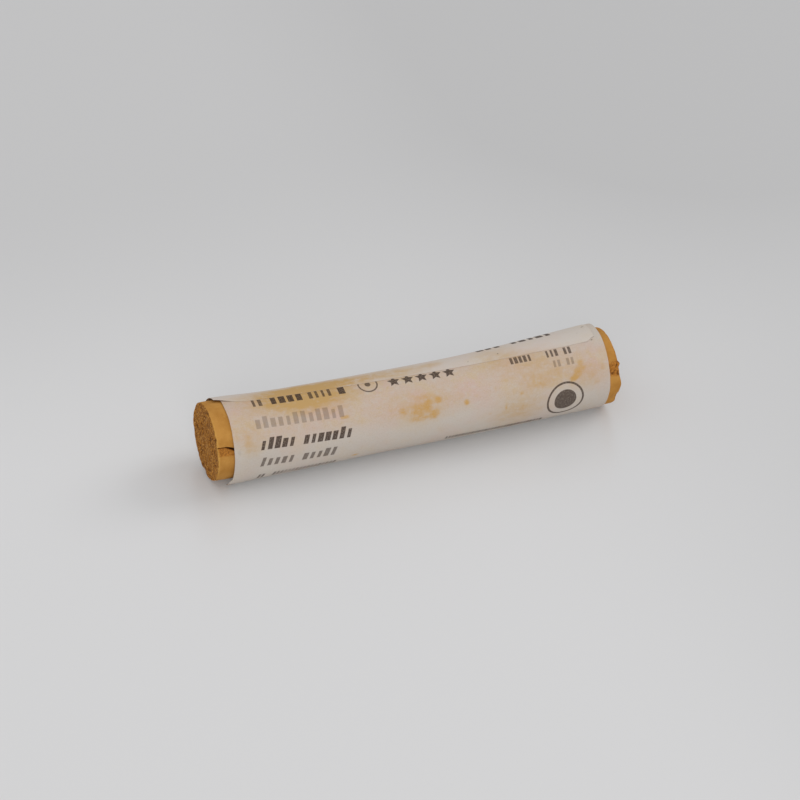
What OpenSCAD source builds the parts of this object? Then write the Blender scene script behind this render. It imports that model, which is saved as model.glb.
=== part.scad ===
// Soft pastel stick in its rolled paper label, lying on its side.
// Millimetres. +X runs along the stick from the broken end to the far end, +Z is up,
// -Y is the front. The origin is on the table under the middle of the stick.
// Angles round the stick start at the top, go down the front and on round the back.

/* [Stick] */
// Length of the stick, from end to end
stick_length = 59.9; // [45:0.1:90]
// Diameter of the stick
stick_d = 11; // [8:0.5:16]
// How far the middle of the stick is bowed towards the front, from a line between its ends
bow = 0.75; // [0.1:0.05:2]

/* [Broken end] */
// How far the broken face is turned from square towards the back, in degrees
break_yaw = 0.2; // [-4:0.2:4]
// How far the broken face leans back at the top, in degrees
break_lean = -0.4; // [-4:0.2:4]
// Depth of the shallow hollow worn into the broken face
break_hollow = 0.25; // [0.1:0.05:0.6]
// Place of the chip in the lower rim, in degrees from the top
chip_at = 184; // [150:1:220]
// Width of that chip
chip_w = 2.2; // [1:0.2:4]
// Depth of that chip
chip_depth = 0.55; // [0.2:0.05:1]

/* [Crack] */
// Place of the crack round the stick, in degrees from the top
crack_at = 65; // [50:1:110]
// Length of the crack along the stick
crack_length = 4.6; // [2:0.2:8]
// Width of the crack at its open end, under the paper
crack_w = 0.5; // [0.2:0.05:0.8]
// Depth of the crack
crack_depth = 1.3; // [0.5:0.1:2.5]
// How far below the old surface the flake under the crack broke away
flake_depth = 0.2; // [0.1:0.05:0.4]
// How far round the stick the broken flake reaches, in degrees
flake_sweep = 18; // [10:1:30]

/* [Far end] */
// How far the far face is turned from square, so that its front side stands out, in degrees
far_yaw = 1; // [0:0.2:5]
// Place of the crumbled dent round the rim, in degrees from the top
dent_at = 64; // [40:1:80]
// Radius of the crumbled dent
dent_r = 1.5; // [0.8:0.1:2.5]
// How deep the dent reaches into the rim
dent_depth = 0.6; // [0.3:0.05:1]
// Middle of the flat worn on the lower rim, in degrees from the top
worn_at = 118; // [100:1:160]
// Reach of the worn flat along the stick
worn_length = 0.5; // [0.2:0.1:2]
// Depth of the worn flat at the face
worn_depth = 0.3; // [0.1:0.05:1]

/* [Paper label] */
// Width of the label along the stick
label_w = 56; // [30:0.1:58]
// Bare stick left between the broken face and the inner turn of the label
label_start = 2.7; // [1:0.1:10]
// Length by which the label laps over its own start
label_lap = 7; // [3:0.5:12]
// Size of the rounded-off free corners
corner_round = 1; // [0.5:0.1:2]
// Thickness of the paper
paper_t = 0.09; // [0.08:0.01:0.2]
// How far the label was rolled out of square, in degrees
label_skew = 1.4; // [0:0.1:4]
// Place of the glued seam at the broken end, in degrees from the top
seam_at = -2; // [-20:1:60]

/* [Looseness of the paper] */
// Clearance between the stick and the paper round it
paper_gap = 0.05; // [0.03:0.01:0.2]
// Clearance between the two layers at the lap
lap_gap = 0.03; // [0.02:0.01:0.1]
// Width of the flat spot that the loose paper lies on
rest_flat_w = 2.4; // [1.6:0.1:4]
// How far the paper bellies out from the stick low down at the broken end
belly = 0.55; // [0:0.05:1]
// How far the paper opens behind the seam at the broken end
flare_broken_end = 0.2; // [0:0.05:1]
// How far the paper opens behind the seam at the far end
flare_far_end = 0.65; // [0:0.05:1.2]
// How far the free corner curls up at the broken end
corner_lift = 0.3; // [0:0.05:1]

/* [Hidden] */
$fn = 96;

stick_r = stick_d / 2;
// Height of the stick's axis above the table, with one layer of paper below it
axis_h = stick_r + paper_gap + paper_t;
broken_x = -stick_length / 2;
far_x = stick_length / 2;
// The bowed axis is an arc. Its middle lies a third of the bow in front of the origin,
// its ends two thirds behind it, where the arc is turned by end_turn from the X axis.
bow_r = (far_x * far_x + bow * bow) / (2 * bow);
bow_centre = bow_r - bow / 3;
end_y = bow * 2 / 3;
end_turn = asin(far_x / bow_r);
// Half the distance along the stick between the nearest and farthest points of each face
break_slant = stick_r * norm([tan(break_yaw), tan(break_lean)]);
far_slant = stick_r * tan(far_yaw);
// Margin by which each cutter runs past the surface that it opens
past = 1;
deg = 180 / PI;

// The label is a rectangle, rolled at the radius of the paper's middle
label_r = stick_r + paper_gap + paper_t / 2;
one_turn = 2 * PI * label_r;
label_h = one_turn + label_lap;
// Length over which the label climbs onto its own start
climb = 3;
// Reach of the flare at each end, of the belly and of the curled corner along the stick
flare_broken_reach = 10;
flare_far_reach = 24;
belly_reach = 24;
curl_reach = 5;
// Middle and half-width of the flare at each end, round the stick, in degrees
flare_broken_mid = -60;
flare_broken_half = 80;
flare_far_mid = -45;
flare_far_half = 105;
// Middle and half-width of the belly round the stick, in degrees
belly_mid = 138;
belly_half = 52;
// Half-angle within which the paper is slack over the table, with a full and a fading part
slack_half = 75;
slack_fade = 50;
// Slack that lets the paper lie flat over the width of the flat spot
rest_slack = norm([axis_h, rest_flat_w / 2]) - axis_h;
// Cells of the paper along the stick and round it
cells_along = 22;
cells_round = ceil(label_h / label_r * deg / 4);

function ease(t) = let (c = min(1, max(0, t))) c * c * (3 - 2 * c);
// Place of the stick's axis from front to back, at a place along it
function axis_y(x) = bow_centre - sqrt(bow_r * bow_r - x * x);
// Signed angle from b to a, between -180 and 180 degrees
function turned(a, b) = ((a - b) % 360 + 540) % 360 - 180;

// How far the paper stands off the stick at a place along it and an angle round it
function stand_off(x, angle) =
    let (
        from_left = x - (broken_x + label_start),
        from_right = broken_x + label_start + label_w - x,
        slack = rest_slack * ease((slack_half - abs(turned(angle, 180))) / slack_fade),
        flare = flare_broken_end * ease(1 - from_left / flare_broken_reach)
                * ease(1 - abs(turned(angle, flare_broken_mid)) / flare_broken_half)
                + flare_far_end * ease(1 - from_right / flare_far_reach)
                * ease(1 - abs(turned(angle, flare_far_mid)) / flare_far_half),
        sag = belly * ease(1 - abs(turned(angle, belly_mid)) / belly_half)
              * ease(1 - from_left / belly_reach)
    )
    slack + flare + sag;

// The paper can't go below the table
function above_table(r, angle) = cos(angle) < 0 ? min(r, axis_h / -cos(angle)) : r;

// Point of the rolled label, from its place across and along the flat sheet.
// depth is 0 on the outer side and paper_t on the inner side.
function rolled(across, along, depth) =
    let (
        x = broken_x + label_start + across * cos(label_skew) - along * sin(label_skew),
        arc = (along - label_h) * cos(label_skew) + across * sin(label_skew),
        angle = seam_at + arc / label_r * deg,
        lapped = ease((along - (one_turn - climb)) / climb),
        curl = corner_lift * ease(1 - across / curl_reach)
               * ease(1 - (label_h - along) / curl_reach),
        r = stick_r + paper_gap + paper_t + lapped * (paper_t + lap_gap)
            + stand_off(x, angle) + curl,
        shell_r = above_table(r, angle) - depth
    )
    [x, axis_y(x) - shell_r * sin(angle), axis_h + shell_r * cos(angle)];

// Rows lie closer together near the two ends of the stick
function across_at(i) = label_w * (1 - cos(180 * i / cells_along)) / 2;
function along_at(j) = label_h * j / cells_round;
// The free edge falls back towards its two ends, which rounds off its corners
function trimmed(across, along) =
    along - corner_round * ease(1 - (label_h - along) / (5 * corner_round))
            * (ease(1 - (label_w - across) / (2 * corner_round))
               + ease(1 - across / (5 * corner_round)));

// Puts what follows on the stick's axis at one end, with X along the stick there and +Z
// pointing out at the given angle
module at_broken_end(angle) {
    translate([broken_x, end_y, axis_h]) rotate([0, 0, -end_turn]) rotate([angle, 0, 0]) children();
}

module at_far_end(angle) {
    translate([far_x, end_y, axis_h]) rotate([0, 0, end_turn]) rotate([angle, 0, 0]) children();
}

// The round bowed stick, left over length at both ends for the faces to be cut
module stick_blank() {
    sweep = 2 * asin((far_x + past) / bow_r);
    translate([0, bow_centre, axis_h])
        rotate([0, 0, -90 - sweep / 2])
            rotate_extrude(angle = sweep, $fn = 2400)
                translate([bow_r, 0])
                    circle(r = stick_r, $fn = 96);
}

// Puts what follows on the slanted broken face, with +X pointing into the stick
module on_broken_face() {
    translate([broken_x + break_slant, end_y, axis_h])
        rotate([0, break_lean, break_yaw])
            children();
}

module broken_face_cut() {
    on_broken_face()
        translate([-2 * stick_d, -stick_d, -stick_d])
            cube(2 * stick_d);
}

module far_face_cut() {
    translate([far_x - far_slant, end_y, axis_h])
        rotate([0, 0, far_yaw])
            translate([0, -stick_d, -stick_d])
                cube(2 * stick_d);
}

// A hollow with a large radius, worn into the face away from its rim
module broken_face_hollow() {
    hollow_r = stick_r * 0.8;
    ball_r = (hollow_r * hollow_r + break_hollow * break_hollow) / (2 * break_hollow);
    on_broken_face()
        translate([break_hollow - ball_r, 0.08 * stick_d, 0])
            sphere(r = ball_r);
}

module rim_chip() {
    chip_r = (chip_w * chip_w / 4 + chip_depth * chip_depth) / (2 * chip_depth);
    at_broken_end(chip_at)
        translate([0, 0, stick_r + chip_r - chip_depth]) sphere(r = chip_r);
}

// A wedge that is thin at the face and opens towards the paper
module crack_cut() {
    at_broken_end(crack_at)
        translate([-past, 0, stick_r - crack_depth])
            linear_extrude(crack_depth + past)
                polygon([[0, 0], [crack_length + past, -crack_w], [crack_length + past, 0]]);
}

// The flake below the crack broke away down to a flat chord that runs out at the surface
module flake_cut() {
    top = [0, stick_r - flake_depth];
    run_out = stick_r * [-sin(flake_sweep), cos(flake_sweep)];
    tilt = atan2(top.y - run_out.y, top.x - run_out.x);
    at_broken_end(crack_at)
        translate([-past, top.x, top.y])
            rotate([tilt, 0, 0])
                translate([0, -norm(run_out - top) - past, 0])
                    cube([crack_length + past, norm(run_out - top) + past, stick_r]);
}

module far_rim_dent() {
    at_far_end(dent_at)
        translate([0, 0, stick_r + dent_r - dent_depth]) sphere(r = dent_r);
}

// The rim is worn down to a slanted flat, from its full size to worn_depth at the face
module far_rim_worn_flat() {
    at_far_end(worn_at)
        translate([-worn_length, 0, stick_r])
            rotate([0, atan2(worn_depth, worn_length), 0])
                translate([-past, -stick_r, 0])
                    cube([2 * stick_r, 2 * stick_r, stick_r]);
}

module pastel_stick() {
    color([0.72, 0.52, 0.26])
        difference() {
            stick_blank();
            broken_face_cut();
            broken_face_hollow();
            rim_chip();
            crack_cut();
            flake_cut();
            far_face_cut();
            far_rim_dent();
            far_rim_worn_flat();
        }
}

// One sheet, closed by its two sides and its four cut edges
module paper_wrapper() {
    row = cells_round + 1;
    side = (cells_along + 1) * row;
    points = [
        for (depth = [0, paper_t], i = [0 : cells_along], j = [0 : cells_round])
            rolled(across_at(i), trimmed(across_at(i), along_at(j)), depth)
    ];
    function quad(a, b, c, d) = [[a, b, c], [a, c, d]];
    outer = [for (i = [0 : cells_along - 1], j = [0 : cells_round - 1])
        let (p = i * row + j) each quad(p, p + 1, p + row + 1, p + row)];
    inner = [for (f = outer) [f[0] + side, f[2] + side, f[1] + side]];
    cut_ends = [for (i = [0 : cells_along - 1], j = [0, cells_round])
        let (p = i * row + j, q = p + row)
        each (j == 0 ? quad(p, q, q + side, p + side) : quad(q, p, p + side, q + side))];
    cut_sides = [for (j = [0 : cells_round - 1], i = [0, cells_along])
        let (p = i * row + j, q = p + 1)
        each (i == 0 ? quad(q, p, p + side, q + side) : quad(p, q, q + side, p + side))];
    color([0.86, 0.8, 0.72])
        polyhedron(points, concat(outer, inner, cut_ends, cut_sides));
}

pastel_stick();
paper_wrapper();
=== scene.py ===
"""A used soft pastel stick in its thin paper label, lying on its side.

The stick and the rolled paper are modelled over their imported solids. Sizes are in
millimetres and become metres where a mesh is made. Angles round the stick start at the
top, go down the front and on round the back.
"""
import logging
from collections.abc import Iterable
from dataclasses import dataclass, field
from enum import Enum
from functools import reduce
from math import cos, hypot, pi, radians, sin
from typing import Any

import bpy
import numpy as np
from mathutils import Matrix, Vector


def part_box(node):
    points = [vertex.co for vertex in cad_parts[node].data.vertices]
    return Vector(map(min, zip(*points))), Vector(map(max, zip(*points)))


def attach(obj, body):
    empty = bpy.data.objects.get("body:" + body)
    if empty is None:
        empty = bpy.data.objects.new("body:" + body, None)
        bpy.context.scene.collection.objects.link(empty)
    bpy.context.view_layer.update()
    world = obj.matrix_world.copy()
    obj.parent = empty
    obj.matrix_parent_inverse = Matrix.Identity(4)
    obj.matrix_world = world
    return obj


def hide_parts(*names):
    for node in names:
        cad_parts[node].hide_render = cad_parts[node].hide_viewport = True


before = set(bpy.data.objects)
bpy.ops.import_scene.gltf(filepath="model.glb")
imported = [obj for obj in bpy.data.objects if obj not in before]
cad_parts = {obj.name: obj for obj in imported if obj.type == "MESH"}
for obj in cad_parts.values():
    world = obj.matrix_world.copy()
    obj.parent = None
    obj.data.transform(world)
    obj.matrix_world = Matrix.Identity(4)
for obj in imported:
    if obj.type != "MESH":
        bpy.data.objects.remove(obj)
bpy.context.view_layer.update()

LOG = logging.getLogger("pastel_stick")
MM = 0.001
BODY = "root"
TURN = 360.0
Colour = tuple[float, float, float]
Place = tuple[float, float, float]


# ---- numbers and noise


def paint(red: int, green: int, blue: int) -> Colour:
    """Turn a colour as the eye sees it, 0 to 255, into the linear one that a shader takes."""
    shares = (channel / 255 for channel in (red, green, blue))
    return tuple(s / 12.92 if s <= 0.04045 else ((s + 0.055) / 1.055) ** 2.4 for s in shares)


def ease(t: np.ndarray) -> np.ndarray:
    """Rise smoothly from 0 to 1 while t goes from 0 to 1."""
    clipped = np.clip(t, 0, 1)
    return clipped * clipped * (3 - 2 * clipped)


def turned(a: np.ndarray, b: float) -> np.ndarray:
    """Return the signed angle from b to a, between -180 and 180 degrees."""
    return (a - b + TURN / 2) % TURN - TURN / 2


def near_angle(angle: np.ndarray, middle: float, half: float) -> np.ndarray:
    """Fall smoothly from 1 at the middle angle to 0 at half degrees away from it."""
    return ease(1 - abs(turned(angle, middle)) / half)


def lattice(points: np.ndarray, seed: int) -> np.ndarray:
    """Give smooth noise between -1 and 1, with one random value at each whole point.

    Args:
        points: Places, with x, y and z in the last axis.
        seed: Number that picks one noise out of many.

    Returns:
        One value for each place.
    """
    stirs, seed_stir, last_stir = (374761393, 668265263, 2147483647), 974711, 1274126177
    low_32_bits, low_16_bits = 0xFFFFFFFF, 0xFFFF
    cell = np.floor(points).astype(np.int64)
    share = ease(points - cell)
    total = np.zeros(points.shape[:-1])
    for corner in np.ndindex(2, 2, 2):
        whole = cell + np.array(corner)
        mixed = ((whole * np.array(stirs)).sum(-1) + seed * seed_stir) & low_32_bits
        mixed = ((mixed ^ (mixed >> 13)) * last_stir) & low_32_bits
        value = ((mixed ^ (mixed >> 16)) & low_16_bits) / (low_16_bits / 2) - 1
        weight = np.ones_like(total)
        for k in range(3):
            weight = weight * (share[..., k] if corner[k] else 1 - share[..., k])
        total += weight * value
    return total


def rumple(points: np.ndarray, size: float, octaves: int = 2, seed: int = 0) -> np.ndarray:
    """Give layered noise whose largest bumps are about size across.

    Args:
        points: Places in millimetres.
        size: Width of the largest bumps.
        octaves: Number of layers, each half as wide and half as strong as the last.
        seed: Number that picks one noise out of many.

    Returns:
        One value for each place, about -1 to 1.
    """
    shift = 17.3
    total, strength = 0.0, 1.0
    for octave in range(octaves):
        layer = lattice(points * (2**octave / size) + shift * octave, seed + octave)
        total = total + strength * layer
        strength /= 2
    return total / (2 - 2 * strength)


# ---- meshes


def make_piece(
    name: str,
    vertices: np.ndarray,
    faces: np.ndarray,
    attributes: dict[str, np.ndarray],
    sharp_over: float,
) -> bpy.types.Object:
    """Make a smooth-shaded mesh object that carries its own values for the shader.

    Args:
        name: Name of the object.
        vertices: Places in millimetres, one row each.
        faces: Corner numbers, four in a row. A triangle repeats its last corner.
        attributes: Named values at the vertices, one number or a row of three for each.
        sharp_over: Angle in degrees over which an edge is drawn sharp.

    Returns:
        The new object, linked to the scene.
    """
    mesh = bpy.data.meshes.new(name)
    corners = [tuple(f[:3]) if f[2] == f[3] else tuple(f) for f in faces.tolist()]
    mesh.from_pydata((vertices * MM).tolist(), [], corners)
    for key, values in attributes.items():
        vector = values.ndim == 2
        layer = mesh.attributes.new(key, "FLOAT_VECTOR" if vector else "FLOAT", "POINT")
        flat = values.ravel().astype(np.float32)
        layer.data.foreach_set("vector" if vector else "value", flat)
    mesh.shade_smooth()
    mesh.set_sharp_from_angle(angle=radians(sharp_over))
    mesh.validate()
    piece = bpy.data.objects.new(name, mesh)
    bpy.context.scene.collection.objects.link(piece)
    return piece


def quads(rows: int, columns: int, closed: bool, first: int = 0) -> np.ndarray:
    """List the faces of a grid of vertices.

    Args:
        rows: Number of rows of vertices.
        columns: Number of vertices in a row.
        closed: Whether each row runs round to its own start.
        first: Number of the grid's first vertex.

    Returns:
        Corner numbers, four in a row.
    """
    steps = columns if closed else columns - 1
    row, column = np.meshgrid(np.arange(rows - 1), np.arange(steps), indexing="ij")
    after = (column + 1) % columns
    here, below = row * columns, (row + 1) * columns
    corners = (here + column, below + column, below + after, here + after)
    return np.stack(corners, -1).reshape(-1, 4) + first


# ---- shader building


class Field:
    """A socket in a node tree, on which each operator adds a Math node."""

    def __init__(self, graph: "Graph", socket: bpy.types.NodeSocket) -> None:
        """Wrap one output socket of the graph."""
        self.graph = graph
        self.socket = socket

    def math(self, operation: str, *others: "Field | float") -> "Field":
        """Add a Math node on this value and up to two others."""
        values = dict(enumerate((self, *others)))
        return self.graph.add("ShaderNodeMath", {"operation": operation}, values)

    def __add__(self, other: "Field | float") -> "Field":
        """Add."""
        return self.math("ADD", other)

    __radd__ = __add__

    def __mul__(self, other: "Field | float") -> "Field":
        """Multiply."""
        return self.math("MULTIPLY", other)

    __rmul__ = __mul__

    def __sub__(self, other: "Field | float") -> "Field":
        """Subtract."""
        return self.math("SUBTRACT", other)

    def __rsub__(self, other: float) -> "Field":
        """Subtract this value from a number."""
        return self.math("MULTIPLY", -1.0) + other

    def __truediv__(self, other: "Field | float") -> "Field":
        """Divide."""
        return self.math("DIVIDE", other)

    def __abs__(self) -> "Field":
        """Drop the sign."""
        return self.math("ABSOLUTE")

    def least(self, other: "Field | float") -> "Field":
        """Take the smaller of two values."""
        return self.math("MINIMUM", other)

    def most(self, other: "Field | float") -> "Field":
        """Take the larger of two values."""
        return self.math("MAXIMUM", other)

    def rise(self, low: float, high: float) -> "Field":
        """Rise smoothly from 0 to 1 between two values, or fall if low is above high.

        Args:
            low: Value at which the result is 0.
            high: Value at which the result is 1.

        Returns:
            The result, from 0 to 1.
        """
        if low > high:
            return 1 - self.rise(high, low)
        ends = {"Value": self, "From Min": low, "From Max": high}
        return self.graph.add("ShaderNodeMapRange", {"interpolation_type": "SMOOTHSTEP"}, ends)

    def edge(self, half: float) -> "Field":
        """Turn a distance inside an outline into a mask whose edge is twice half wide."""
        return self.rise(-half, half)


class Graph:
    """The node tree of one material, and the few ways in which nodes are added to it."""

    def __init__(self, name: str) -> None:
        """Start a material with an empty tree.

        Args:
            name: Name of the material.
        """
        self.material = bpy.data.materials.new(name)
        self.material.use_nodes = True
        self.tree = self.material.node_tree
        self.tree.nodes.clear()

    def node(
        self, kind: str, settings: dict[str, Any], values: dict[str | int, Any]
    ) -> bpy.types.Node:
        """Add a node and set it up.

        Args:
            kind: The node's type.
            settings: Properties of the node, set first.
            values: Numbers or links for its input sockets, by name or place.

        Returns:
            The new node.
        """
        node = self.tree.nodes.new(kind)
        for key, value in settings.items():
            setattr(node, key, value)
        for key, value in values.items():
            if isinstance(value, Field):
                self.tree.links.new(value.socket, node.inputs[key])
            else:
                node.inputs[key].default_value = value
        return node

    def add(
        self,
        kind: str,
        settings: dict[str, Any] | None = None,
        values: dict[str | int, Any] | None = None,
        out: str | int = 0,
    ) -> Field:
        """Add a node and return one of its outputs, which out names or counts."""
        return Field(self, self.node(kind, settings or {}, values or {}).outputs[out])

    def attribute(self, name: str, out: str = "Fac") -> Field:
        """Read values that a mesh carries at its vertices."""
        return self.add("ShaderNodeAttribute", {"attribute_name": name}, out=out)

    def place_mm(self) -> Field:
        """Read the place on the object, in millimetres."""
        place = self.add("ShaderNodeTexCoord", out="Object")
        return self.vector("SCALE", place, Scale=1 / MM)

    def vector(self, operation: str, *operands: Any, **named: Any) -> Field:
        """Add a Vector Math node.

        Args:
            operation: Name of what it works out.
            *operands: Vectors or links, in the order of its sockets.
            **named: Numbers or links for its sockets by name.

        Returns:
            A number for a length, and a vector for all else.
        """
        values = dict(enumerate(operands)) | named
        out = "Value" if operation == "LENGTH" else "Vector"
        return self.add("ShaderNodeVectorMath", {"operation": operation}, values, out)

    def join(self, x: Any, y: Any, z: Any = 0.0) -> Field:
        """Make a vector of three numbers."""
        return self.add("ShaderNodeCombineXYZ", {}, {0: x, 1: y, 2: z})

    def split(self, vector: Field) -> tuple[Field, Field, Field]:
        """Take a vector apart."""
        outputs = self.node("ShaderNodeSeparateXYZ", {}, {0: vector}).outputs
        return tuple(Field(self, output) for output in outputs)

    def noise(self, place: Field, size: float, detail: float = 2.0, rough: float = 0.5) -> Field:
        """Add noise from 0 to 1 whose bumps are about size millimetres across."""
        values = {"Vector": place, "Scale": 1 / size, "Detail": detail, "Roughness": rough}
        return self.add("ShaderNodeTexNoise", {}, values, "Fac")

    def chance(self, place: Field) -> Field:
        """Give each place its own random value from 0 to 1."""
        return self.add("ShaderNodeTexWhiteNoise", {}, {"Vector": place}, "Value")

    def mix(self, share: Any, first: Any, second: Any) -> Field:
        """Mix two colours.

        Args:
            share: How much of the second colour, from 0 to 1.
            first: A colour or a link.
            second: A colour or a link.

        Returns:
            The mixed colour.
        """
        settings = {"data_type": "RGBA", "clamp_factor": True}
        one, other = (c if isinstance(c, Field) else (*c, 1.0) for c in (first, second))
        return self.add("ShaderNodeMix", settings, {0: share, 6: one, 7: other}, 2)

    def layered(self, base: Any, *layers: tuple[Any, Any]) -> Field:
        """Lay colours over a base in turn, each given as its share and the colour."""
        return reduce(lambda under, layer: self.mix(layer[0], under, layer[1]), layers, base)

    def bump(self, height: Field, distance: float, strength: float) -> Field:
        """Turn heights from 0 to 1 into a bent surface normal, with distance in metres."""
        values = {"Height": height, "Distance": distance, "Strength": strength}
        return self.add("ShaderNodeBump", {}, values)

    def finish(self, **values: Any) -> bpy.types.Material:
        """Close the tree with one Principled shader and return the material.

        Args:
            **values: Sockets of the shader, with an underscore for each space.

        Returns:
            The finished material.
        """
        sockets = {key.replace("_", " "): value for key, value in values.items()}
        shader = self.add("ShaderNodeBsdfPrincipled", {}, sockets)
        self.node("ShaderNodeOutputMaterial", {}, {"Surface": shader})
        return self.material


# ---- finishes


@dataclass(frozen=True)
class PressedPigment:
    """Dry pressed pigment: a smooth powdery skin, and coarse grain where it broke."""

    skin: Colour = paint(188, 136, 66)
    skin_dark: Colour = paint(169, 117, 50)
    grain: Colour = paint(180, 121, 46)
    grain_dark: Colour = paint(94, 52, 12)
    grain_light: Colour = paint(216, 164, 90)
    flake: Colour = paint(182, 120, 48)
    worn_edge: Colour = paint(212, 164, 84)

    def material(self) -> bpy.types.Material:
        """Build the material. The mesh carries where the stick is broken, flaked or worn, and a
        mask of painted shade in its pits, crack, chips and far dent.

        Returns:
            The finished material.
        """
        graph = Graph("pressed_pigment")
        place = graph.place_mm()
        broken, flaked, worn, pit = map(graph.attribute, ("broken", "flaked", "worn", "pit"))
        clouds = graph.noise(place, 2.6, 3.0)
        dust = graph.noise(place, 0.22, 3.0, 0.7)
        grit = graph.noise(place, 0.24, 3.0, 0.75)
        speck = graph.chance(graph.vector("FLOOR", graph.vector("SCALE", place, Scale=5.5)))

        skin = graph.layered(
            self.skin,
            (clouds.rise(0.3, 0.7), self.skin_dark),
            (dust.rise(0.5, 0.75) * 0.2, self.worn_edge),
        )
        coarse = graph.layered(
            self.grain_dark,
            (grit.rise(0.36, 0.6), self.grain),
            (speck.rise(0.88, 0.92) * 0.5, self.grain_light),
            # Painted shade: the dark grain colour laid into pits, the crack and the chipped
            # hollows.
            (pit.rise(0.15, 0.9) * 0.7, self.grain_dark),
        )
        fresh = graph.layered(
            self.flake,
            (grit.rise(0.62, 0.36) * 0.6, self.grain_dark),
            # Painted shade in the pits of the flaked place too.
            (pit.rise(0.3, 0.9) * 0.7, self.grain_dark),
        )
        edge = worn * (0.4 + 0.6 * dust)
        colour = graph.layered(skin, (broken, coarse), (flaked, fresh), (edge, self.worn_edge))
        height = dust * (0.35 + 0.65 * broken.most(flaked))
        normal = graph.bump(height, 0.00006, 0.7)
        return graph.finish(
            Base_Color=colour, Roughness=0.93, Normal=normal, Specular_IOR_Level=0.25
        )


# Half widths in millimetres of the soft edges at the sides and at the ends of a mark.
INK_EDGE = 0.03
INK_END = 0.04


def overlaid(masks: Iterable[Field]) -> Field:
    """Return the strongest of several masks at each place."""
    return reduce(Field.most, masks)


class Stroke(Enum):
    """How the strokes of a printed row stand."""

    UPRIGHT = 0.0
    SLANTED = 0.26


@dataclass(frozen=True)
class PrintedRow:
    """A row of plain printed blocks on the flat label, in one or more groups.

    Fields are in millimetres across and along the flat label.
    """

    groups: tuple[tuple[float, float], ...]
    top: float
    foot: float
    pitch: float
    thick: float
    strength: float
    stroke: Stroke = Stroke.UPRIGHT
    tall: float = 0.0

    def mask(self, graph: Graph, across: Field, along: Field) -> Field:
        """Draw the row.

        Args:
            graph: The label's graph.
            across: Place across the flat label.
            along: Place along the flat label.

        Returns:
            How much ink is at each place.
        """
        narrowest, spread, tall_ones = 0.32, 0.28, 0.68
        first = self.groups[0][0]
        leaning = across + (along - self.foot) * self.stroke.value - first
        cell = (leaning / self.pitch).math("FLOOR")
        luck = graph.chance(graph.join(cell, self.top, self.pitch))
        other = graph.chance(graph.join(cell, self.foot, 0.5))
        offset = abs(leaning - (cell + 0.5) * self.pitch)
        width = self.thick * (narrowest + spread * luck)
        top = self.top - self.tall * other.rise(tall_ones, tall_ones + 0.02)
        marks = (width - offset).edge(INK_EDGE) * (along - top).edge(INK_END)
        halves = [((start + end) / 2 - first, (end - start) / 2) for start, end in self.groups]
        inside = overlaid(
            (half - abs(leaning - middle)).edge(INK_EDGE) for middle, half in halves
        )
        return marks * inside * (self.foot - along).edge(INK_END) * self.strength


@dataclass(frozen=True)
class PrintedStars:
    """A row of equal five-pointed stars."""

    first: float = 24.33
    pitch: float = 2.04
    count: int = 5
    along: float = 7.6
    outer: float = 0.95
    waist: float = 0.46
    strength: float = 0.95

    def mask(self, graph: Graph, across: Field, along: Field) -> Field:
        """Draw the stars.

        Args:
            graph: The label's graph.
            across: Place across the flat label.
            along: Place along the flat label.

        Returns:
            How much ink is at each place.
        """
        nearest = ((across - self.first) / self.pitch + 0.5).math("FLOOR")
        nearest = nearest.most(0.0).least(float(self.count - 1))
        x = across - self.first - nearest * self.pitch
        y = self.along - along
        reach = graph.vector("LENGTH", graph.join(x, y))
        fifth = 2 * pi / 5
        angle = x.math("ARCTAN2", y)
        folded = abs((angle / fifth).math("FRACT") - 0.5)
        folded = (0.5 - folded) * fifth
        tip_x, tip_y = reach * folded.math("COSINE"), reach * folded.math("SINE")
        run, climb = self.waist * cos(fifth / 2) - self.outer, self.waist * sin(fifth / 2)
        outside = (climb * (tip_x - self.outer) - run * tip_y) / hypot(run, climb)
        return outside.rise(INK_EDGE, -INK_EDGE) * self.strength


@dataclass(frozen=True)
class PrintedRing:
    """A plain ring with a plain round spot in its middle."""

    across: float
    along: float
    radius: float
    line: float
    spot: float
    strength: float

    def mask(self, graph: Graph, across: Field, along: Field) -> Field:
        """Draw the ring.

        Args:
            graph: The label's graph.
            across: Place across the flat label.
            along: Place along the flat label.

        Returns:
            How much ink is at each place.
        """
        reach = graph.vector("LENGTH", graph.join(across - self.across, along - self.along))
        ring = (self.line / 2 - abs(reach - self.radius)).edge(INK_EDGE)
        return ring.most((self.spot - reach).edge(INK_EDGE)) * self.strength


# Rows of blocks stand where words would be, and a dotted ring where a sign would be.
PRINT = (
    PrintedRow(((3.65, 5.45), (11.75, 15.35)), 6.2, 8.35, 0.9, 0.5, 0.85),
    PrintedRow(((6.3, 11.18), (16.06, 17.28)), 6.2, 8.35, 1.22, 0.82, 0.98),
    PrintedRow(((3.3, 16.26),), 10.5, 11.8, 1.08, 0.72, 0.38, tall=0.4),
    PrintedRow(((3.5, 8.65), (9.68, 16.89)), 13.55, 14.85, 1.03, 0.68, 0.95, Stroke.SLANTED, 0.4),
    PrintedRow(((3.5, 8.6), (9.62, 14.72)), 16.4, 17.6, 1.02, 0.62, 0.75, Stroke.SLANTED, 0.3),
    PrintedRow(((3.5, 4.6), (5.7, 15.05)), 19.2, 20.2, 0.55, 0.32, 0.8, Stroke.SLANTED),
    PrintedRow(((31.3, 46.3),), 18.3, 19.2, 0.5, 0.32, 0.95),
    PrintedRow(((41.5, 44.9), (46.94, 48.98), (49.66, 51.02)), 7.15, 8.25, 0.68, 0.44, 0.85),
    PrintedRow(((47.6, 48.96), (49.64, 51.0)), 8.85, 9.85, 0.68, 0.42, 0.42),
    PrintedRow(((39.0, 42.9), (44.0, 50.5)), 36.2, 39.0, 1.3, 1.0, 0.95),
    PrintedStars(),
    PrintedRing(20.6, 7.35, 1.33, 0.22, 0.42, 0.85),
    PrintedRing(49.1, 15.0, 2.72, 0.3, 1.7, 0.92),
)


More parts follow.
